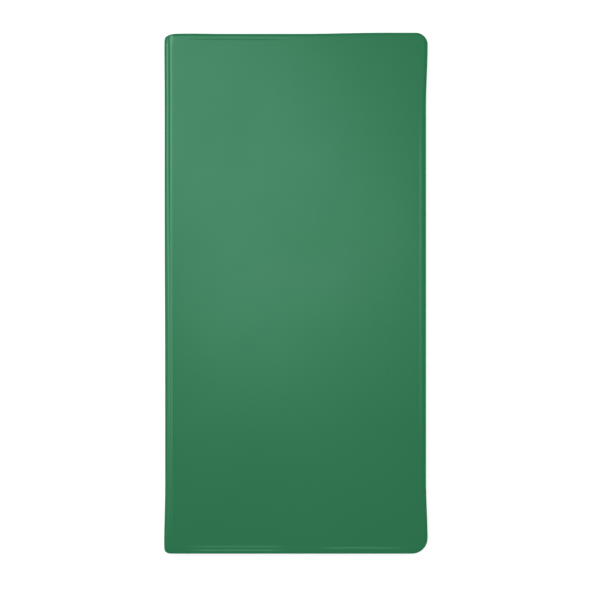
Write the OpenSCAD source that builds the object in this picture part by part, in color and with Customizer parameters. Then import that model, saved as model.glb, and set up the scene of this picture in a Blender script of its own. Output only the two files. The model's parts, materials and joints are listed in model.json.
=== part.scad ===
// Slim pocket stamp album, closed, lying on its back cover.
// Origin: middle of the underside. +X to the fore edge, +Y to the head of the album, +Z up.

/* [Album] */
// Width of the closed album, from the spine to the fore edge
album_w = 124; // [100:1:160]
// Height of the covers, from tail to head
album_h = 245; // [180:1:320]
// Space that one leaf and its interleaf take in the closed album
leaf_pitch = 1.3; // [1.2:0.05:1.8]

/* [Covers] */
// Thickness of the outer vinyl skin
skin_t = 0.45; // [0.4:0.05:0.6]
// Thickness of the greyboard in the covers
board_t = 1.4; // [1.2:0.1:2]
// Thickness of the inner vinyl liner
liner_t = 0.35; // [0.3:0.05:0.5]
// Width of the thin welded rim around each cover
rim_w = 1.3; // [1:0.1:2]
// Thickness of the welded rim, skin and liner together
rim_t = 0.8; // [0.6:0.1:1]
// Distance from the cover's edge to the greyboard
board_inset = 2.5; // [2.3:0.1:4]
// Radius of the two corners at the fore edge
fore_corner_r = 5.6; // [4.4:0.2:9]

/* [Spine] */
// Thickness of the spine panel
spine_t = 2; // [1.8:0.1:2.4]
// Radius of the rounded ends of the hinge rolls
roll_end_r = 0.8; // [0.4:0.1:0.9]
// Thickness of the strip glued inside the spine
binding_t = 0.4; // [0.3:0.1:0.5]
// Length of the guard stubs that hold the leaves
guard_len = 0.9; // [0.6:0.1:1]

/* [Leaves] */
// Thickness of a leaf's card
card_t = 0.5; // [0.3:0.05:0.6]
// Distance from the hinge line to the card's bound edge
card_start = 10; // [9:0.5:14]
// Distance from the album's fore edge to the card's fore edge
card_fore_gap = 4; // [3:0.5:8]
// Distance from the album's head and tail to the card's
card_end_gap = 6; // [4:0.5:10]
// Radius of the card's two corners at the fore edge
card_corner_r = 4; // [2:0.5:4.5]
// Thickness of the cloth joints
cloth_t = 0.12; // [0.1:0.01:0.14]
// Width of the cloth that is glued to the card
cloth_lap = 4; // [3:0.5:5]
// Thickness of the glassine interleaves
glassine_t = 0.1; // [0.08:0.01:0.12]

/* [Film strips] */
// Number of clear strips on each side of a leaf
strip_count = 7; // [3:1:9]
// Thickness of a strip
strip_t = 0.14; // [0.1:0.01:0.15]
// Gap between one strip and the next
strip_gap = 3; // [2:0.5:5]
// Margin of card that shows around the strips
strip_margin = 1.6; // [1.4:0.2:3]

/* [Hidden] */
$fn = 48;
LEAVES = 6;
FRONT_LEAVES = LEAVES / 2;
INTERLEAVES = LEAVES - 1;

// Covers: depths are measured in from a cover's outer face.
cover_t = skin_t + board_t + liner_t;
rim_depth = (cover_t - rim_t) / 2;
weld_depth = rim_depth + rim_t / 2;
album_t = 2 * cover_t + LEAVES * leaf_pitch;
left = -album_w / 2;
right = album_w / 2;

// Hinge rolls: one on each edge of the spine, centred on the hinge lines.
roll_r = cover_t / 2;
hinge_x = left + roll_r;
hinge_back_z = roll_r;
hinge_front_z = album_t - roll_r;
roll_clear = 0.1;
cover_start = hinge_x + roll_r + roll_clear;
groove_w = 0.45;
spine_corner_r = 0.9;

// Spine panel: its outer face is level with the rolls.
spine_skin_t = skin_t;
spine_liner_t = liner_t;
spine_inner_x = left + spine_t;
spine_board_gap = 0.15;
spine_board_low = hinge_back_z + roll_r + spine_board_gap;
spine_board_high = hinge_front_z - roll_r - spine_board_gap;

// Leaves.
cloth_start = 3;
guard_t = 0.3;
leaf_h = album_h - 2 * card_end_gap;
leaf_left = hinge_x + card_start;
leaf_right = right - card_fore_gap;
glassine_left = hinge_x + cloth_start + 1;
glassine_shrink = 2;
binding_h = leaf_h - 4;

// Film strips.
strip_left = leaf_left + cloth_lap + 0.6;
strip_w = leaf_right - strip_margin - strip_left;
strip_pitch = (leaf_h - 2 * strip_margin + strip_gap) / strip_count;
strip_h = strip_pitch - strip_gap;

// Height of the middle of leaf n's card. Leaf 1 is next to the front cover.
function leaf_z(n) = album_t - cover_t - leaf_pitch * (n - 0.5);
// The side of a leaf that faces the middle of the album: -1 for the underside, 1 for the top.
function inner_side(n) = n <= FRONT_LEAVES ? -1 : 1;

// A flat outline from x0 to x1, centred on Y, with one corner radius at each side.
module panel_outline(x0, x1, h, r_left, r_right) {
    union() {
        translate([x0 + r_left, -h / 2]) square([x1 - x0 - r_left - r_right, h]);
        translate([x0, -h / 2 + r_left]) square([r_left, h - 2 * r_left]);
        translate([x1 - r_right, -h / 2 + r_right]) square([r_right, h - 2 * r_right]);
        for (side = [-1, 1]) {
            translate([x0 + r_left, side * (h / 2 - r_left)]) circle(r_left);
            translate([x1 - r_right, side * (h / 2 - r_right)]) circle(r_right);
        }
    }
}

// A slab of a cover between two depths, with its edges drawn in by inset and its spine edge at x0.
module cover_slab(depth0, depth1, x0, inset) {
    translate([0, 0, depth0])
        linear_extrude(depth1 - depth0)
            panel_outline(x0, right - inset, album_h - 2 * inset, spine_corner_r, fore_corner_r - inset);
}

// The space for the greyboard.
module board_space() {
    cover_slab(skin_t, skin_t + board_t, cover_start + board_inset - rim_w, board_inset);
}

// The outer sheet: a raised panel over the board, and half of the rim.
module cover_skin() {
    difference() {
        union() {
            cover_slab(0, weld_depth, cover_start + groove_w, rim_w);
            cover_slab(rim_depth, weld_depth, cover_start, 0);
        }
        board_space();
    }
}

// The inner sheet: a raised panel under the board, and the other half of the rim.
module cover_liner() {
    difference() {
        union() {
            cover_slab(weld_depth, cover_t, cover_start + groove_w, rim_w);
            cover_slab(weld_depth, rim_depth + rim_t, cover_start, 0);
        }
        board_space();
    }
}

// Turns a cover piece, made with its outer face at z = 0, over to the top of the album.
module to_front() {
    translate([0, 0, album_t]) mirror([0, 0, 1]) children();
}

module back_skin() {
    color("#2f734e") cover_skin();
}

module back_board() {
    color("#8f8a80") board_space();
}

module back_liner() {
    color("#2a6646") cover_liner();
}

module front_skin() {
    color("#2f734e") to_front() cover_skin();
}

module front_board() {
    color("#8f8a80") to_front() board_space();
}

module front_liner() {
    color("#2a6646") to_front() cover_liner();
}

// One hinge roll: a round bar along Y with rounded ends.
module hinge_roll(z) {
    straight = album_h / 2 - roll_end_r;
    translate([hinge_x, 0, z]) rotate([-90, 0, 0]) rotate_extrude() intersection() {
        translate([0, -album_h / 2]) square([roll_r, album_h]);
        union() {
            translate([0, -album_h / 2]) square([roll_r - roll_end_r, album_h]);
            translate([0, -straight]) square([roll_r, 2 * straight]);
            for (side = [-1, 1])
                translate([roll_r - roll_end_r, side * straight]) circle(roll_end_r);
        }
    }
}

// A slab of the spine panel between two distances in from its outer face.
module spine_slab(x0, x1, z0, z1, h) {
    translate([left + x0, -h / 2, z0]) cube([x1 - x0, h, z1 - z0]);
}

module spine_skin() {
    color("#2f734e") {
        hinge_roll(hinge_back_z);
        hinge_roll(hinge_front_z);
        spine_slab(0, spine_skin_t, hinge_back_z, hinge_front_z, album_h - 2 * roll_end_r);
    }
}

module spine_board() {
    color("#8f8a80") spine_slab(
        spine_skin_t, spine_t - spine_liner_t, spine_board_low, spine_board_high,
        album_h - 2 * board_inset
    );
}

module spine_liner() {
    color("#2a6646") spine_slab(
        spine_t - spine_liner_t, spine_t, spine_board_low, spine_board_high,
        album_h - 2 * board_inset
    );
}

module binding_strip() {
    color("#202020") spine_slab(
        spine_t, spine_t + binding_t, spine_board_low + spine_board_gap,
        spine_board_high - spine_board_gap, binding_h
    );
}

// The stubs that the cloth joints are glued to, one for each leaf.
module leaf_guards() {
    color("#1c1c1c")
        for (n = [1 : LEAVES])
            translate([spine_inner_x + binding_t, -binding_h / 2, leaf_z(n) - guard_t / 2])
                cube([guard_len, binding_h, guard_t]);
}

module leaf_card(n) {
    color("#161616")
        translate([0, 0, leaf_z(n) - card_t / 2])
            linear_extrude(card_t)
                panel_outline(leaf_left, leaf_right, leaf_h, 0.5, card_corner_r);
}

// The clear strips on one side of a leaf, each a pocket that is open towards the head.
module leaf_strips(n, side) {
    strip_z = side > 0 ? leaf_z(n) + card_t / 2 : leaf_z(n) - card_t / 2 - strip_t;
    color("#d8e4e8", 0.4)
        for (row = [0 : strip_count - 1])
            translate([strip_left, -leaf_h / 2 + strip_margin + row * strip_pitch, strip_z])
                cube([strip_w, strip_h, strip_t]);
}

// The cloth joint, glued to the side of the card that faces the middle of the album.
module leaf_cloth(n) {
    cloth_z = inner_side(n) > 0 ? leaf_z(n) + card_t / 2 : leaf_z(n) - card_t / 2 - cloth_t;
    color("#232323")
        translate([hinge_x + cloth_start, -binding_h / 2, cloth_z])
            cube([card_start - cloth_start + cloth_lap, binding_h, cloth_t]);
}

// The glassine sheet between leaf n and leaf n + 1.
module interleaf(n) {
    color("#e9e6da", 0.6)
        translate([0, 0, leaf_z(n) - (leaf_pitch + glassine_t) / 2])
            linear_extrude(glassine_t)
                panel_outline(
                    glassine_left, leaf_right - glassine_shrink, leaf_h - 2 * glassine_shrink,
                    0.5, card_corner_r
                );
}

back_skin();
back_board();
back_liner();
spine_skin();
spine_board();
spine_liner();
binding_strip();
leaf_guards();
front_skin();
front_board();
front_liner();
for (n = [1 : LEAVES]) {
    leaf_card(n);
    leaf_strips(n, 1);
    leaf_strips(n, -1);
    leaf_cloth(n);
}
for (n = [1 : INTERLEAVES])
    interleaf(n);
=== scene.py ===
"""Looks of the slim stamp album: welded vinyl cover, card leaves, film strips, cloth joints and glassine."""

import json
import math
from types import SimpleNamespace

import bpy
import numpy as np
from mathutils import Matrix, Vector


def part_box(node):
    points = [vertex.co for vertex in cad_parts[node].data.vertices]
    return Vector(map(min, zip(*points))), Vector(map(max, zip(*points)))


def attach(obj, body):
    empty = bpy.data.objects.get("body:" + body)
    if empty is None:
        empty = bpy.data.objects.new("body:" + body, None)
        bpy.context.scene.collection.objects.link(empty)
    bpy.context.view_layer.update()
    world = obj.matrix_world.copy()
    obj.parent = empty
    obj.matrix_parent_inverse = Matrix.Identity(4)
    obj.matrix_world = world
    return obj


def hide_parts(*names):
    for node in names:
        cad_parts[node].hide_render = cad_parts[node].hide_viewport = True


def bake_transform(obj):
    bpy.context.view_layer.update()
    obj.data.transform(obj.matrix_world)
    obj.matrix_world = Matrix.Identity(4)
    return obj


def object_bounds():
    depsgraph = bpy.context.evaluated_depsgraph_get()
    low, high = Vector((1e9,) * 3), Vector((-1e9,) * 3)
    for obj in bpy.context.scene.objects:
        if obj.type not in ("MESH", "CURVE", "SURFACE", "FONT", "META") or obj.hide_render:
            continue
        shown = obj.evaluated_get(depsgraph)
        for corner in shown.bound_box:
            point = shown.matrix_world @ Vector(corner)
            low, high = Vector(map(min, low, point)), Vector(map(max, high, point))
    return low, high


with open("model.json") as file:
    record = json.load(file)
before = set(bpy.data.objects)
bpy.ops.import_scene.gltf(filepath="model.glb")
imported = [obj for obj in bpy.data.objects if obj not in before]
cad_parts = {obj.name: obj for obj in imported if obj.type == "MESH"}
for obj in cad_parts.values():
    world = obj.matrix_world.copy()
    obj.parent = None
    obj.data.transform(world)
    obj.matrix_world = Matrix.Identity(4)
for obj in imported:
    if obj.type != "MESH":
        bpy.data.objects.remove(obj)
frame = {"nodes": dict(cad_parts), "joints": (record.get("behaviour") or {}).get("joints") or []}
CAD_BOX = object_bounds()

MM = 0.001

# Counts and sizes that the CAD has too. Leaves 1 to FRONT_LEAVES turn with the front cover.
LEAVES = 6
FRONT_LEAVES = 3
STRIPS = 7
STRIP_GAP = 3 * MM
GLASSINE_CORNER_R = 4 * MM

# The closed album, from the CAD frame.
LEFT, RIGHT = CAD_BOX[0].x, CAD_BOX[1].x
HALF_H = CAD_BOX[1].y
THICK = CAD_BOX[1].z
JOINTS = {j["name"]: j for j in frame["joints"]}
HINGE_X, _, HINGE_Z = JOINTS["spine_hinge"]["pos_m"]
ROLL_R = HINGE_Z
COVER_T = 2 * ROLL_R
SPINE_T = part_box("spine_liner")[1].x - LEFT
SPINE_MID = THICK / 2

# Vinyl sheets. Depths are measured in from a cover's outer face.
SKIN_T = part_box("back_board")[0].z
LINER_T = COVER_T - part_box("back_board")[1].z
WELD_T = 0.8 * MM
RIM_DEPTH = (COVER_T - WELD_T) / 2
RIM_FALL_W = 1.6 * MM

# The cover's plan. At the fore edge its corners are arcs. At the spine its ends draw in along a quarter of an
# ellipse, given as width and depth. Over the spine's board the head end draws in no further than SPINE_END_IN,
# so the vinyl covers the board's end.
HEAD_CORNER_R = 5.6 * MM
TAIL_CORNER_R = 7.4 * MM
HEAD_ROUNDING = (5.6 * MM, 3.3 * MM)
TAIL_ROUNDING = (3.4 * MM, 2.3 * MM)
SPINE_END_IN = 1.6 * MM

# How far the welded sides draw in between the corners, and how much of that the spine's board holds back.
FORE_PULL = 0.8 * MM
SPINE_PULL_HEAD = 0.24 * MM
SPINE_PULL_TAIL = 0.64 * MM
BOARD_HOLDS = 0.24 * MM

# The hinge roll. Its crest, and the arc on the cover's side of it: half-width, and degrees from crest to groove.
CREST_X = LEFT + 1.5 * MM
ROLL_REACH = 4 * MM
ROLL_OPEN = 14

# The groove beside the roll, and where the painted highlight line lies beyond it.
GROOVE_X = LEFT + 2.46 * MM
GROOVE_DEPTH = 0.15 * MM
GROOVE_W = 0.21 * MM
RIDGE_X = LEFT + 3.28 * MM

# Thickness of the thin sheets inside.
FILM_T = 0.045 * MM
TAPE_T = 0.1 * MM
GLASSINE_T = 0.06 * MM


def smooth_step(t):
    """0 below 0, 1 above 1, and smooth between."""
    t = np.clip(t, 0, 1)
    return t * t * (3 - 2 * t)


def bump(t, width):
    """A smooth hill of height 1 at t = 0."""
    return np.exp(-((t / width) ** 2))


def window(t, low, high, fade):
    """1 between low and high, fading to 0 outside them."""
    return smooth_step((t - low) / fade + 0.5) * smooth_step((high - t) / fade + 0.5)


# ---------------------------------------------------------------- meshes


def new_object(name, vertices, faces):
    mesh = bpy.data.meshes.new(name)
    mesh.from_pydata(vertices, [], faces)
    mesh.update()
    mesh.polygons.foreach_set("use_smooth", [True] * len(mesh.polygons))
    mesh.set_sharp_from_angle(angle=math.radians(38))
    made = bpy.data.objects.new(name, mesh)
    bpy.context.scene.collection.objects.link(made)
    return made


def sheet_mesh(outer, inner, flip=False):
    """Vertices and faces of a closed sheet between two grids of points, each of shape (rows, columns, 3)."""
    rows, columns = outer.shape[:2]
    index = np.arange(rows * columns).reshape(rows, columns)
    a, b = index[:-1, :-1].ravel(), index[1:, :-1].ravel()
    c, d = index[1:, 1:].ravel(), index[:-1, 1:].ravel()
    top = np.stack([a, b, c, d], 1)
    under = np.stack([d, c, b, a], 1) + rows * columns
    border = np.concatenate([index[:, 0], index[-1, 1:], index[-2::-1, -1], index[0, -2:0:-1]])
    after = np.roll(border, -1)
    rim = np.stack([after, border, border + rows * columns, after + rows * columns], 1)
    faces = np.concatenate([top, under, rim])
    if flip:
        faces = faces[:, ::-1]
    vertices = np.concatenate([outer.reshape(-1, 3), inner.reshape(-1, 3)])
    return vertices, faces


def join_sheets(sheets):
    """One mesh from several (vertices, faces) pairs."""
    vertices, faces, count = [], [], 0
    for points, quads in sheets:
        vertices.append(points)
        faces.append(quads + count)
        count += len(points)
    return np.concatenate(vertices), np.concatenate(faces)


def paint(made, name, values):
    """Stores a number at each vertex, which a material reads by name."""
    attribute = made.data.attributes.new(name, "FLOAT", "POINT")
    attribute.data.foreach_set("value", np.asarray(values, np.float32))


# ---------------------------------------------------------------- cover vinyl

EDGE_STEPS = np.array([0, 0.1, 0.25, 0.45, 0.7, 0.95, 1.15, 1.35, 1.55, 1.75, 1.95, 2.15, 2.35, 2.6,
                       2.85, 3.1, 3.4, 3.75, 4.2, 4.7, 5.6, 7, 9, 12, 16]) * MM


def cover_stations():
    """x of each row of points across a cover, from the fore edge to the groove."""
    near_groove = GROOVE_X + np.array([12, 9, 7, 5.5, 4.2, 3.2, 2.5, 2, 1.7, 1.4, 1.2, 1.05, 0.9, 0.75,
                                       0.62, 0.5, 0.4, 0.32, 0.24, 0.16, 0.08, 0]) * MM
    middle = np.linspace(RIGHT - EDGE_STEPS[-1], near_groove[0], 24)[1:-1]
    return np.concatenate([RIGHT - EDGE_STEPS, middle, near_groove])


def end_stations():
    """Distance of each column of points from the tail, along the album."""
    middle = np.linspace(EDGE_STEPS[-1], 2 * HALF_H - EDGE_STEPS[-1], 54)[1:-1]
    return np.concatenate([EDGE_STEPS, middle, 2 * HALF_H - EDGE_STEPS[::-1]])


def end_rounding(x, shape):
    """How far an end of the cover draws in near the spine, where the plan's corner is round."""
    width, depth = shape
    t = np.clip((LEFT + width - x) / width, 0, 0.995)
    return depth * (1 - np.sqrt(1 - t ** 2))


def groove_strength(y):
    """The groove beside the roll is pressed deep at the head, and fades to a trace halfway down."""
    return 0.08 + 0.92 * smooth_step((y - 5 * MM) / (65 * MM))


def hinge_painted_highlight(x, y, on_roll, on_cover):
    """Painted highlight along the hinge: two lighter lines, one on the roll's crest, one on the cover beside the
    groove.
    """
    from_head = HALF_H - y
    fade = np.clip((y + HALF_H - 4 * MM) / (65 * MM), 0, 1)
    tailward = smooth_step((70 * MM - y) / (110 * MM))
    crest_strength = (1.05 - 0.05 * tailward) * smooth_step((from_head - 3 * MM) / (2 * MM))
    crest = on_roll * bump(x - CREST_X - 0.36 * MM * tailward, (0.36 + 0.14 * tailward) * MM)
    beside_strength = 0.64 + 0.24 * smooth_step((y - 20 * MM) / (50 * MM))
    beside_strength = beside_strength + 0.3 * bump(from_head - 3 * MM, 4 * MM)
    beside_width = 0.55 * MM * (1 + 0.7 * bump(from_head - 2 * MM, 2.5 * MM))
    beside = on_cover * bump(x - RIDGE_X, beside_width)
    return fade * np.maximum(crest * crest_strength, beside * beside_strength)


def plan_warp(x, y, over_board):
    """The cover's plan isn't a true rectangle: the welded sides draw in between the corners.

    over_board is 1 where the spine's board holds the sheet out, so it draws in less.
    """
    to_corner = HALF_H - np.abs(y)
    fore_pull = FORE_PULL * smooth_step((to_corner - 5 * MM) / (30 * MM))
    x = x - fore_pull * np.clip(1 - (RIGHT - x) / (6 * MM), 0, 1) ** 1.5
    tailward = smooth_step((50 * MM - y) / (140 * MM))
    spine_pull = SPINE_PULL_HEAD + (SPINE_PULL_TAIL - SPINE_PULL_HEAD) * tailward
    spine_pull = np.minimum(spine_pull, SPINE_PULL_TAIL - BOARD_HOLDS * over_board)
    tail_flare = smooth_step((y + HALF_H - 6 * MM) / (26 * MM))
    head_flare = 0.45 + 0.55 * smooth_step((HALF_H - y - 4 * MM) / (30 * MM))
    crest_shift = 0.38 * MM * smooth_step((60 * MM - y) / (90 * MM)) * bump(x - CREST_X, 0.6 * MM)
    spine_pull = spine_pull * head_flare * np.clip(1 - (x - LEFT) / (5 * MM), 0, 1)
    x = x + (spine_pull + crest_shift) * tail_flare
    head_drop = 0.55 * MM * (1 - smooth_step((x - 2 * MM) / (40 * MM)))
    head_drop = head_drop - 0.15 * MM * bump(x + 50 * MM, 9 * MM)
    y = y - head_drop * np.clip(1 - (HALF_H - y) / (14 * MM), 0, 1)
    return x, y


def round_corner(from_fore, from_end, radius):
    """Turns a square corner into a round one, ring by ring."""
    a = np.clip(1 - from_fore / radius, 0, 1)
    b = np.clip(1 - from_end / radius, 0, 1)
    share = np.where((a > 0) & (b > 0), np.maximum(a, b) / np.maximum(np.hypot(a, b), 1e-9), 1.0)
    moved_fore = np.where(a > 0, radius * (1 - a * share), from_fore)
    moved_end = np.where(b > 0, radius * (1 - b * share), from_end)
    return moved_fore, moved_end


def rim_profile(d):
    """Depth of the outer sheet at distance d from a welded edge: it falls gently to the rim."""
    return RIM_DEPTH * (1 - smooth_step(d / RIM_FALL_W))


def seam_lines(x, from_tail, from_head):
    """The marks that the weld leaves along stretches of the edges: how deep they are, and how much painted
    highlight lies on their ridges.
    """
    head = window(x, LEFT + 12 * MM, LEFT + 55 * MM, 9 * MM)
    tail = window(x, LEFT + 14 * MM, LEFT + 55 * MM, 8 * MM)
    far = window(x, LEFT + 76 * MM, LEFT + 110 * MM, 12 * MM)
    fore = window(from_tail, 55 * MM, 200 * MM, 30 * MM)
    crease = head * 0.1 * MM * bump(from_head - 2.5 * MM, 0.3 * MM)
    tallest = 0.09 * MM
    ridges = tail * 0.075 * MM * bump(from_tail - 3.2 * MM, 0.34 * MM)
    ridges += tail * tallest * bump(from_tail - 1.5 * MM, 0.3 * MM)
    ridges += far * 0.085 * MM * bump(from_tail - 2.6 * MM, 0.38 * MM)
    ridges += fore * 0.035 * MM * bump(RIGHT - x - 2.85 * MM, 0.45 * MM)
    return crease - ridges, ridges / tallest


def pillow(d):
    """The sheet lies lower near the board's edges than over its middle."""
    return 0.05 * MM * np.exp(-d / (9 * MM))


ON_COVER, ON_ROLL, ON_SPINE = range(3)


def cover_section():
    """The back vinyl's outer line in section, from the fore edge round the roll to the middle of the spine.

    Returns each point's x and z, the direction into the sheet there, and which part it is on.
    """
    roll_angles = np.radians(np.concatenate([np.linspace(-ROLL_OPEN, 0, 13)[:-1], np.linspace(0, 90, 15)]))
    z_spine = np.concatenate([
        HINGE_Z + np.array([0.2, 0.4, 0.6, 0.8, 1, 1.2, 1.4, 1.7, 2.1]) * MM,
        np.linspace(HINGE_Z + 2.6 * MM, SPINE_MID, 5),
    ])
    places, inward, part = [], [], []
    for x in cover_stations():
        places.append((x, 0.0))
        inward.append((0.0, 1.0))
        part.append(ON_COVER)
    for angle in roll_angles:
        reach = CREST_X - LEFT if angle > 0 else ROLL_REACH
        places.append((CREST_X - reach * math.sin(angle), HINGE_Z - ROLL_R * math.cos(angle)))
        facing = (math.sin(angle) / reach, math.cos(angle) / ROLL_R)
        inward.append((facing[0] / math.hypot(*facing), facing[1] / math.hypot(*facing)))
        part.append(ON_ROLL)
    for z in z_spine:
        places.append((LEFT, z))
        inward.append((1.0, 0.0))
        part.append(ON_SPINE)
    return np.array(places), np.array(inward), np.array(part)


def cover_points():
    """Every grid point of the back vinyl before it is pressed in: its place, its part and its distances."""
    places, inward, part = cover_section()
    along = end_stations()
    p = SimpleNamespace(inward=inward)
    p.x = np.repeat(places[:, :1], len(along), 1)
    p.from_tail = np.repeat(along[None], len(places), 0)
    p.from_head = 2 * HALF_H - p.from_tail
    p.from_end = np.minimum(p.from_tail, p.from_head)
    p.from_fore = RIGHT - p.x
    p.on_cover = (part == ON_COVER)[:, None]
    p.on_roll = (part == ON_ROLL)[:, None]
    p.on_spine = (part == ON_SPINE)[:, None]
    p.inner_roll = p.on_roll & (p.x > CREST_X)
    p.z = np.where(p.inner_roll, HINGE_Z - ROLL_R, np.repeat(places[:, 1:], len(along), 1))
    p.edge = np.where(p.on_cover, np.minimum(p.from_fore, p.from_end), p.from_end)
    p.groove = groove_strength(p.from_tail - HALF_H) * GROOVE_DEPTH * bump(p.x - GROOVE_X, GROOVE_W)
    p.seam_depth, p.seam_light = seam_lines(p.x, p.from_tail, p.from_head)
    return p


def skin_depths(p):
    """How deep the outer sheet's visible face lies at each point."""
    below_crest = 0.08 * MM
    flattening = 0.13 * MM
    spine_weld = 0.25 * MM * bump(p.z - HINGE_Z - 0.65 * MM, 0.22 * MM)
    roll_end = 0.4 * MM * np.exp(-((p.from_end / (0.9 * MM)) ** 1.5))
    rim_share = smooth_step((p.x - GROOVE_X) / (1.2 * MM))
    to_rim = np.minimum(p.from_tail, 1.3 * p.from_head)
    rim = rim_profile(np.where(p.on_cover, np.minimum(p.from_fore, to_rim), to_rim))
    over_cover = rim * rim_share + roll_end * (1 - rim_share) + p.groove
    over_cover += p.seam_depth + below_crest + pillow(np.minimum(p.edge, np.maximum(p.x - GROOVE_X, 0)))
    over_roll = roll_end + p.groove * p.inner_roll + flattening * np.clip((HINGE_Z - p.z) / ROLL_R, 0, 1)
    over_spine = spine_weld + 0.25 * rim * smooth_step((p.z - HINGE_Z) / (1.2 * MM)) + roll_end * 0.4
    return np.maximum(np.where(p.on_cover, over_cover, np.where(p.on_roll, over_roll, over_spine)), 0)


def liner_depths(p):
    """How deep the lining's visible face lies: flat over the boards, fused with the skin at rim and hinge."""
    fused = SKIN_T + LINER_T
    at_rim = 1 - smooth_step(p.edge / RIM_FALL_W)
    at_hinge = 1 - smooth_step((p.x - GROOVE_X - 0.35 * MM) / (0.75 * MM))
    over_board = COVER_T - RIM_DEPTH * np.maximum(at_rim, at_hinge)
    at_groove = fused + 0.6 * p.groove
    over_cover = at_groove + (over_board - at_groove) * smooth_step((p.x - GROOVE_X) / (0.5 * MM))
    spine_board = smooth_step((p.z - HINGE_Z - 0.75 * MM) / (0.5 * MM)) * smooth_step(p.edge / (0.3 * MM))
    over_spine = fused + (SPINE_T - fused) * spine_board
    return np.where(p.on_cover, over_cover, np.where(p.on_roll, fused, over_spine))


def cover_grid(wanted):
    """Points across the back cover, its roll and half the spine. wanted is "skin" or "liner".

    Returns the visible grid, the hidden grid, and at each point how much painted highlight, rim colour
    and painted shade along the edge it takes.
    """
    p = cover_points()
    if wanted == "skin":
        seen = skin_depths(p)
        hidden = seen + SKIN_T
    else:
        seen = liner_depths(p)
        hidden = seen - LINER_T
    nearer_tail = p.from_tail < p.from_head
    corner_r = np.where(nearer_tail, TAIL_CORNER_R, HEAD_CORNER_R)
    moved_fore, moved_end = round_corner(np.where(p.on_cover, p.from_fore, corner_r), p.from_end, corner_r)
    settle = np.clip(1 - moved_end / (16 * MM), 0, 1) ** 2
    plan_x = np.where(p.on_cover, RIGHT - moved_fore, p.x)
    over_board = p.on_spine * smooth_step((p.z - HINGE_Z - 0.5 * MM) / (0.7 * MM))

    grids = []
    for depth in (seen, hidden):
        at_x = plan_x + p.inward[:, :1] * depth * ~p.on_cover
        tail_in = end_rounding(at_x, TAIL_ROUNDING)
        head_in = end_rounding(at_x, HEAD_ROUNDING)
        head_in = head_in - over_board * np.maximum(head_in - SPINE_END_IN, 0)
        y = np.where(nearer_tail, -HALF_H + moved_end + tail_in * settle, HALF_H - moved_end - head_in * settle)
        at_x, at_y = plan_warp(at_x, y, over_board)
        grids.append(np.stack([at_x, at_y, p.z + p.inward[:, 1:] * depth], 2))
    # Painted highlight: lighter lines along the hinge and on the weld ridges, painted into the skin's colour.
    hinge_light = hinge_painted_highlight(p.x, p.from_tail - HALF_H, p.on_roll, p.on_cover)
    painted_highlight = np.maximum(hinge_light, 0.4 * p.seam_light * p.on_cover) * (wanted == "skin")
    rim_mask = 1 - smooth_step((p.edge - 0.5 * MM) / (1.0 * MM))
    # Painted shade along the outermost edge: the colour is darkened there.
    edge_shade_mask = 1 - smooth_step((p.edge - 0.05 * MM) / (0.4 * MM))
    return grids[0], grids[1], painted_highlight, rim_mask, edge_shade_mask


def vinyl_piece(name, wanted, front):
    """One closed sheet of vinyl over a cover and its half of the spine. The front's is the back's, mirrored."""
    seen, hidden, painted_highlight, rim_mask, edge_shade_mask = cover_grid(wanted)
    if front:
        for grid in (seen, hidden):
            grid[..., 2] = THICK - grid[..., 2]
    flip = front == (wanted == "skin")
    vertices, faces = sheet_mesh(seen, hidden, flip=not flip)
    made = new_object(name, vertices, faces)
    for attribute, values in (("painted_highlight", painted_highlight), ("rim", rim_mask), ("edge_shade", edge_shade_mask)):
        paint(made, attribute, np.tile(values.ravel(), 2))
    return made


def bend_over_hinge(made, front, reach_cover, reach_spine):
    """Bakes the sheet's placement into its mesh. The sheet is not bent here."""
    diagonal = math.sqrt(0.5)
    z0, z1 = HINGE_Z - reach_cover * diagonal, HINGE_Z + reach_spine * diagonal
    if front:
        z0, z1 = THICK - z0, THICK - z1
        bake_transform(made)
    else:
        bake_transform(made)


# ---------------------------------------------------------------- materials


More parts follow.
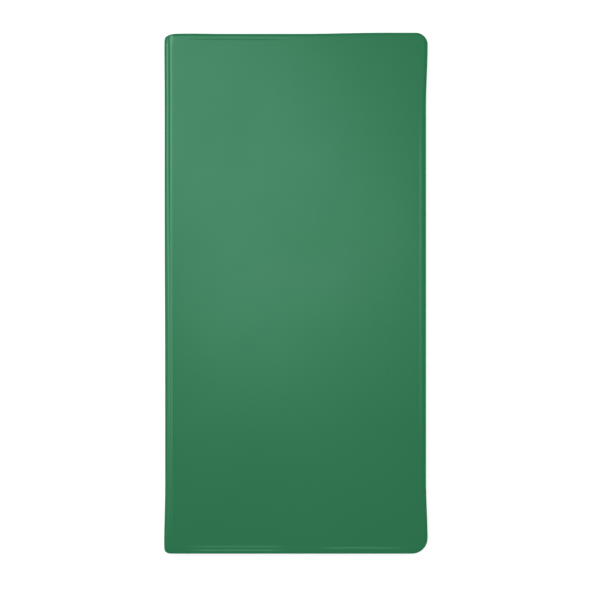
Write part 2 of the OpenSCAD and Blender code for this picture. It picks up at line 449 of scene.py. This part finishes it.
class Nodes:
    """Short calls for building one procedural material."""

    def __init__(self, name):
        self.material = bpy.data.materials.new(name)
        self.material.use_nodes = True
        self.tree = self.material.node_tree
        self.tree.nodes.clear()
        self.output = self.add("ShaderNodeOutputMaterial")
        self.shader = self.add("ShaderNodeBsdfPrincipled")
        self.link(self.shader.outputs["BSDF"], self.output.inputs["Surface"])
        self.place = self.add("ShaderNodeTexCoord").outputs["Object"]

    def add(self, kind, **values):
        made = self.tree.nodes.new(kind)
        for key, value in values.items():
            setattr(made, key, value)
        return made

    def link(self, source, target):
        self.tree.links.new(source, target)

    def set(self, **values):
        """Constant values of the main shader, by socket name with _ for a space."""
        for key, value in values.items():
            self.shader.inputs[key.replace("_", " ")].default_value = value

    def noise(self, scale, detail=2.0, roughness=0.5, stretch=(1, 1, 1)):
        """Noise from 0 to 1. scale is in waves per metre."""
        mapping = self.add("ShaderNodeMapping")
        mapping.inputs["Scale"].default_value = stretch
        self.link(self.place, mapping.inputs["Vector"])
        made = self.add("ShaderNodeTexNoise")
        made.inputs["Scale"].default_value = scale
        made.inputs["Detail"].default_value = detail
        made.inputs["Roughness"].default_value = roughness
        self.link(mapping.outputs["Vector"], made.inputs["Vector"])
        return made.outputs["Fac"]

    def wave(self, scale, direction, distortion=0.0):
        made = self.add("ShaderNodeTexWave", bands_direction=direction)
        made.inputs["Scale"].default_value = scale
        made.inputs["Distortion"].default_value = distortion
        self.link(self.place, made.inputs["Vector"])
        return made.outputs["Fac"]

    def attribute(self, name):
        return self.add("ShaderNodeAttribute", attribute_name=name).outputs["Fac"]

    def remap(self, source, low, high, start=0.0, end=1.0):
        """Maps source from start..end to low..high."""
        made = self.add("ShaderNodeMapRange")
        made.inputs["From Min"].default_value = start
        made.inputs["From Max"].default_value = end
        made.inputs["To Min"].default_value = low
        made.inputs["To Max"].default_value = high
        self.link(source, made.inputs["Value"])
        return made.outputs["Result"]

    def mix(self, share, first, second):
        """A colour between two colours, each a tuple or a socket.

        The Mix node's colours are its inputs 6 and 7 and its output 2.
        """
        made = self.add("ShaderNodeMix", data_type="RGBA")
        self.link(share, made.inputs["Factor"])
        for value, socket in ((first, made.inputs[6]), (second, made.inputs[7])):
            if isinstance(value, tuple):
                socket.default_value = (*value, 1.0)
            else:
                self.link(value, socket)
        return made.outputs[2]

    def math(self, operation, first, second):
        made = self.add("ShaderNodeMath", operation=operation)
        for value, socket in ((first, made.inputs[0]), (second, made.inputs[1])):
            if isinstance(value, (int, float)):
                socket.default_value = value
            else:
                self.link(value, socket)
        return made.outputs[0]

    def bump(self, *layers):
        """Bump from (height, strength, distance in metres) layers, one over the next."""
        normal = None
        for height, strength, distance in layers:
            made = self.add("ShaderNodeBump")
            made.inputs["Strength"].default_value = strength
            made.inputs["Distance"].default_value = distance
            self.link(height, made.inputs["Height"])
            if normal is not None:
                self.link(normal, made.inputs["Normal"])
            normal = made.outputs["Normal"]
        self.link(normal, self.shader.inputs["Normal"])

    def to(self, source, socket):
        self.link(source, self.shader.inputs[socket])


def vinyl_material(name, base, deep, rim, edge_shade):
    """Satin vinyl: faint cloudiness, fine even grain, a cleaner green rim, painted edge shade and painted
    highlight lines.
    """
    # Colour of the painted highlight lines.
    painted_highlight_colour = (0.27, 0.70, 0.44)
    n = Nodes(name)
    cloudy = n.mix(n.remap(n.noise(14, 3), 0.0, 1.0, 0.35, 0.65), deep, base)
    speck = n.mix(n.remap(n.noise(900, 2), 0.0, 0.35, 0.55, 0.75), cloudy, deep)
    rimmed = n.mix(n.math("MULTIPLY", n.attribute("rim"), 0.75), speck, rim)
    # Painted shade along the outermost edge; the same mask also makes the edge a little rougher.
    edged = n.mix(n.math("MULTIPLY", n.attribute("edge_shade"), 0.75), rimmed, edge_shade)
    # Painted highlight along the hinge and the weld ridges.
    highlighted = n.mix(n.math("MULTIPLY", n.attribute("painted_highlight"), 0.22), edged, painted_highlight_colour)
    n.to(highlighted, "Base Color")
    handled = n.remap(n.noise(32, 3), 0.235, 0.275, 0.3, 0.7)
    n.to(n.math("ADD", handled, n.math("MULTIPLY", n.attribute("edge_shade"), 0.15)), "Roughness")
    n.set(Specular_IOR_Level=0.5, Specular_Tint=(0.49, 1.0, 0.79, 1.0))
    n.bump((n.noise(2600, 1.5), 0.10, 0.00003), (n.noise(420, 2), 0.03, 0.00004))
    return n.material


def greyboard_material():
    n = Nodes("greyboard")
    fibres = n.noise(700, 4, 0.7, stretch=(1, 3, 1))
    n.to(n.mix(n.remap(fibres, 0, 1, 0.3, 0.7), (0.22, 0.20, 0.17), (0.36, 0.34, 0.30)), "Base Color")
    n.to(n.remap(fibres, 0.8, 0.95), "Roughness")
    n.bump((fibres, 0.4, 0.00008))
    return n.material


def card_material():
    """Smooth black album card: dense fibres that barely show, and a little rub."""
    n = Nodes("black_card")
    fibres = n.noise(1500, 4, 0.65, stretch=(1, 2.2, 1))
    rub = n.noise(26, 4)
    base = n.mix(n.remap(fibres, 0, 1, 0.35, 0.7), (0.0075, 0.0075, 0.008), (0.016, 0.016, 0.0165))
    n.to(n.mix(n.remap(rub, 0, 0.5, 0.5, 0.75), base, (0.024, 0.024, 0.025)), "Base Color")
    n.to(n.remap(rub, 0.62, 0.76, 0.3, 0.7), "Roughness")
    n.set(Specular_IOR_Level=0.35)
    n.bump((fibres, 0.12, 0.00002))
    return n.material


def film_material():
    """Clear film: glossy and see-through, a little hazy along its trimmed edges and seals."""
    n = Nodes("clear_film")
    edge = n.attribute("edge")
    n.to(n.mix(edge, (0.93, 0.95, 0.96), (0.80, 0.84, 0.86)), "Base Color")
    haze = n.remap(n.noise(60, 2, stretch=(0.35, 1, 1)), 0.05, 0.11, 0.3, 0.7)
    n.to(n.math("ADD", haze, n.math("MULTIPLY", edge, 0.25)), "Roughness")
    n.to(n.remap(edge, 1.0, 0.45), "Transmission Weight")
    n.set(IOR=1.45)
    n.bump((n.noise(30, 2, stretch=(0.3, 1, 1)), 0.10, 0.0003))
    return n.material


def cloth_material():
    """Black linen tape: crossing threads, uneven in thickness and shade."""
    n = Nodes("linen_tape")
    warp = n.wave(520, "X", 1.2)
    weft = n.wave(520, "Y", 1.2)
    threads = n.math("MAXIMUM", warp, weft)
    uneven = n.noise(600, 3)
    base = n.mix(n.remap(threads, 0, 1, 0.2, 1), (0.006, 0.006, 0.0065), (0.030, 0.030, 0.032))
    n.to(n.mix(n.remap(uneven, 0, 0.4, 0.5, 0.8), base, (0.05, 0.05, 0.052)), "Base Color")
    n.to(n.remap(uneven, 0.78, 0.92), "Roughness")
    n.set(Specular_IOR_Level=0.2, Sheen_Weight=0.15)
    n.bump((threads, 0.6, 0.00008), (uneven, 0.2, 0.00005))
    return n.material


def glassine_material():
    """Translucent glassine, with the faint mottling of calendered paper."""
    n = Nodes("glassine")
    mottle = n.noise(900, 2, 0.5, stretch=(1, 0.6, 1))
    n.to(n.mix(n.remap(mottle, 0, 1, 0.3, 0.7), (0.85, 0.84, 0.79), (0.87, 0.86, 0.81)), "Base Color")
    n.to(n.remap(mottle, 0.30, 0.36, 0.3, 0.7), "Roughness")
    n.to(n.remap(mottle, 0.20, 0.22, 0.3, 0.7), "Alpha")
    n.bump((n.noise(24, 2), 0.12, 0.0003))
    return n.material


def floor_material():
    """A white light table, which glows a little, so what lies on it throws hardly any shadow."""
    n = Nodes("studio_floor")
    n.to(n.mix(n.noise(6, 2), (0.90, 0.90, 0.90), (0.93, 0.93, 0.93)), "Base Color")
    n.set(Roughness=0.9, Specular_IOR_Level=0.1, Emission_Color=(1, 1, 1, 1), Emission_Strength=0.6)
    return n.material


# The last colour of each is the painted shade along the edge.
VINYL = vinyl_material("green_vinyl", (0.0157, 0.178, 0.0635), (0.0149, 0.171, 0.0610),
                       (0.0080, 0.205, 0.076), (0.006, 0.085, 0.034))
LINER = vinyl_material("green_liner", (0.0140, 0.156, 0.056), (0.0130, 0.148, 0.053),
                       (0.0075, 0.165, 0.063), (0.006, 0.085, 0.034))
GREYBOARD = greyboard_material()
CARD = card_material()
FILM = film_material()
CLOTH = cloth_material()
GLASSINE = glassine_material()


def dress(made, material):
    made.data.materials.clear()
    made.data.materials.append(material)


def dress_node(node, material):
    made = frame["nodes"][node]
    made.data.materials.clear()
    made.data.materials.append(material)


# ---------------------------------------------------------------- covers


def build_covers():
    for front in (False, True):
        side = "front" if front else "back"
        skin = vinyl_piece(side + "_cover_vinyl", "skin", front)
        dress(skin, VINYL)
        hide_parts(side + "_skin", "spine_skin")
        bend_over_hinge(skin, front, reach_cover=1.0 * MM, reach_spine=1.0 * MM)
        liner = vinyl_piece(side + "_cover_lining", "liner", front)
        dress(liner, LINER)
        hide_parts(side + "_liner", "spine_liner")
        bend_over_hinge(liner, front, reach_cover=0.38 * MM, reach_spine=0.3 * MM)
    for node in ("back_board", "spine_board", "front_board"):
        dress_node(node, GREYBOARD)
    for node in ("binding_strip", "leaf_guards"):
        dress_node(node, CLOTH)


# ---------------------------------------------------------------- leaves


def strips_piece(leaf, side_name, side):
    """The clear strips on one side of a leaf: each is sealed along its foot and ends, and open at its top."""
    node = f"leaf_{leaf}_strips_{side_name}"
    low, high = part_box(node)
    card_low, card_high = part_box(f"leaf_{leaf}_card")
    face_z = card_high.z if side > 0 else card_low.z
    pitch = (high.y - low.y + STRIP_GAP) / STRIPS
    # u runs along a strip and v up it, each from 0 to 1.
    across = np.linspace(0, 1, 33)
    up = np.array([0, 0.02, 0.05, 0.09, 0.16, 0.3, 0.5, 0.7, 0.86, 0.95, 0.985, 1])
    u, v = np.meshgrid(across, up, indexing="ij")
    ends = smooth_step(np.minimum(u, 1 - u) / 0.035)
    foot = smooth_step((v - 0.02) / 0.14)
    ripple = 0.5 + 0.5 * np.sin(u * 9.0 + 1.3 * leaf + v * 2.0)
    lift = 0.012 * MM + ends * foot * (0.05 + 0.028 * ripple * v) * MM
    edge = np.maximum(bump(1 - v, 0.012), 0.55 * bump(v, 0.02))
    edge = np.maximum(edge, 0.5 * bump(np.minimum(u, 1 - u), 0.004))
    sheets = []
    for row in range(STRIPS):
        x = low.x + u * (high.x - low.x)
        y = low.y + row * pitch + v * (pitch - STRIP_GAP)
        under = np.stack([x, y, face_z + side * lift], 2)
        over = np.stack([x, y, face_z + side * (lift + FILM_T)], 2)
        sheets.append(sheet_mesh(over, under, flip=side < 0))
    made = new_object(node + "_film", *join_sheets(sheets))
    paint(made, "edge", np.tile(np.concatenate([edge.ravel(), edge.ravel()]), STRIPS))
    dress(made, FILM)
    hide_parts(node)
    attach(made, f"leaf_{leaf}")


def bend_at_spine(made):
    """Bakes the sheet's placement into its mesh. The sheet is not bent here."""
    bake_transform(made)


def cloth_piece(leaf):
    """A leaf's cloth joint: from its guard on the spine to its lap on the card."""
    node = f"leaf_{leaf}_cloth"
    low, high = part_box(node)
    inner = -1 if leaf <= FRONT_LEAVES else 1
    guards_low, guards_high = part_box("leaf_guards")
    card_low, card_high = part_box(f"leaf_{leaf}_card")
    middle = (card_low.z + card_high.z) / 2
    bending = np.linspace(guards_low.x + 0.1 * MM, card_low.x, 60)
    x = np.concatenate([bending, np.linspace(card_low.x, high.x, 8)[1:]])
    y = np.linspace(low.y, high.y, 60)
    u, v = np.meshgrid(x, y, indexing="ij")
    guard_face = 0.16 * MM
    card_face = (card_high.z - card_low.z) / 2 + 0.005 * MM
    rise = smooth_step((u - guards_high.x) / (card_low.x - guards_high.x))
    ripple = 0.02 * MM * np.sin(v / (9 * MM) + leaf) * rise * (1 - rise) * 4
    face = guard_face + (card_face - guard_face) * rise
    under = np.stack([u, v, middle + inner * face + ripple], 2)
    over = np.stack([u, v, middle + inner * (face + TAPE_T) + ripple], 2)
    made = new_object(node + "_tape", *sheet_mesh(over, under, flip=inner < 0))
    dress(made, CLOTH)
    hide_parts(node)
    bend_at_spine(made)


def glassine_piece(number):
    """A glassine interleaf, held at the spine and lying between two leaves."""
    node = f"interleaf_{number}"
    low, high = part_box(node)
    middle = (low.z + high.z) / 2
    held_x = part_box("leaf_guards")[0].x + 0.05 * MM
    bent_x = held_x + 9 * MM
    across = np.concatenate([np.linspace(held_x, bent_x, 60), np.linspace(bent_x, high.x, 30)[1:]])
    from_tail = np.linspace(0, high.y - low.y, 70)
    u, v = np.meshgrid(across, from_tail, indexing="ij")
    from_head = (high.y - low.y) - v
    moved_fore, moved_end = round_corner(high.x - u, np.minimum(v, from_head), GLASSINE_CORNER_R)
    x = high.x - moved_fore
    y = np.where(v < from_head, low.y + moved_end, high.y - moved_end)
    wave = 0.05 * MM * np.sin(x / (17 * MM) + number) * np.cos(y / (23 * MM) + 2 * number)
    wave = wave * smooth_step((x - bent_x) / (12 * MM))
    over = np.stack([x, y, middle + wave + GLASSINE_T / 2], 2)
    under = np.stack([x, y, middle + wave - GLASSINE_T / 2], 2)
    made = new_object(node + "_sheet", *sheet_mesh(over, under))
    dress(made, GLASSINE)
    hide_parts(node)
    bend_at_spine(made)


def build_leaves():
    for leaf in range(1, LEAVES + 1):
        dress_node(f"leaf_{leaf}_card", CARD)
        strips_piece(leaf, "front", 1)
        strips_piece(leaf, "back", -1)
        cloth_piece(leaf)
    for number in range(1, LEAVES):
        glassine_piece(number)


# ---------------------------------------------------------------- studio


def build_floor():
    half = 4.0
    z = -0.05 * MM
    corners = [(-half, -half, z), (half, -half, z), (half, half, z), (-half, half, z)]
    floor = new_object("floor", corners, [(0, 1, 2, 3)])
    floor.data.materials.append(floor_material())


def softbox(name, place, size, turn, power):
    """A rectangular softbox that faces straight down, turned about the vertical."""
    lamp = bpy.data.lights.new(name, "AREA")
    lamp.shape = "RECTANGLE"
    lamp.size, lamp.size_y = size
    lamp.energy = power
    made = bpy.data.objects.new(name, lamp)
    bpy.context.scene.collection.objects.link(made)
    made.location = place
    made.rotation_euler = (0, 0, turn)


def build_world():
    """Even white surroundings, a little brighter overhead than at the horizon."""
    world = bpy.data.worlds.new("studio")
    world.use_nodes = True
    tree = world.node_tree
    split = tree.nodes.new("ShaderNodeSeparateXYZ")
    rise = tree.nodes.new("ShaderNodeMapRange")
    rise.inputs["To Min"].default_value = 0.45
    rise.inputs["To Max"].default_value = 0.67
    tree.links.new(tree.nodes.new("ShaderNodeTexCoord").outputs["Generated"], split.inputs[0])
    tree.links.new(split.outputs["Z"], rise.inputs["Value"])
    tree.links.new(rise.outputs["Result"], tree.nodes["Background"].inputs["Strength"])
    tree.nodes["Background"].inputs["Color"].default_value = (1, 1, 1, 1)
    bpy.context.scene.world = world


def build_lights():
    build_world()
    height = THICK + 0.6
    softbox("key", (-0.085, 0.145, height), (0.172, 0.414), turn=0.55, power=0.66)
    softbox("strip", (-0.36, 0.14, height), (0.08, 0.5), turn=0, power=0.75)


def build_camera():
    """Straight above the front cover, with a long lens. The frame is a little taller than the album."""
    frame_over_album = 1.151
    aside = (1.95 * MM, -3.2 * MM)
    distance = 1.6
    sensor = 36
    lens = bpy.data.cameras.new("camera")
    lens.sensor_width = sensor
    lens.lens = sensor * distance / (frame_over_album * 2 * HALF_H)
    lens.clip_end = 100
    camera = bpy.data.objects.new("camera", lens)
    camera.location = ((LEFT + RIGHT) / 2 + aside[0], aside[1], THICK + distance)
    bpy.context.scene.collection.objects.link(camera)
    bpy.context.scene.camera = camera


build_covers()
build_leaves()
build_floor()
build_lights()
build_camera()
bpy.context.scene.view_settings.view_transform = "Standard"
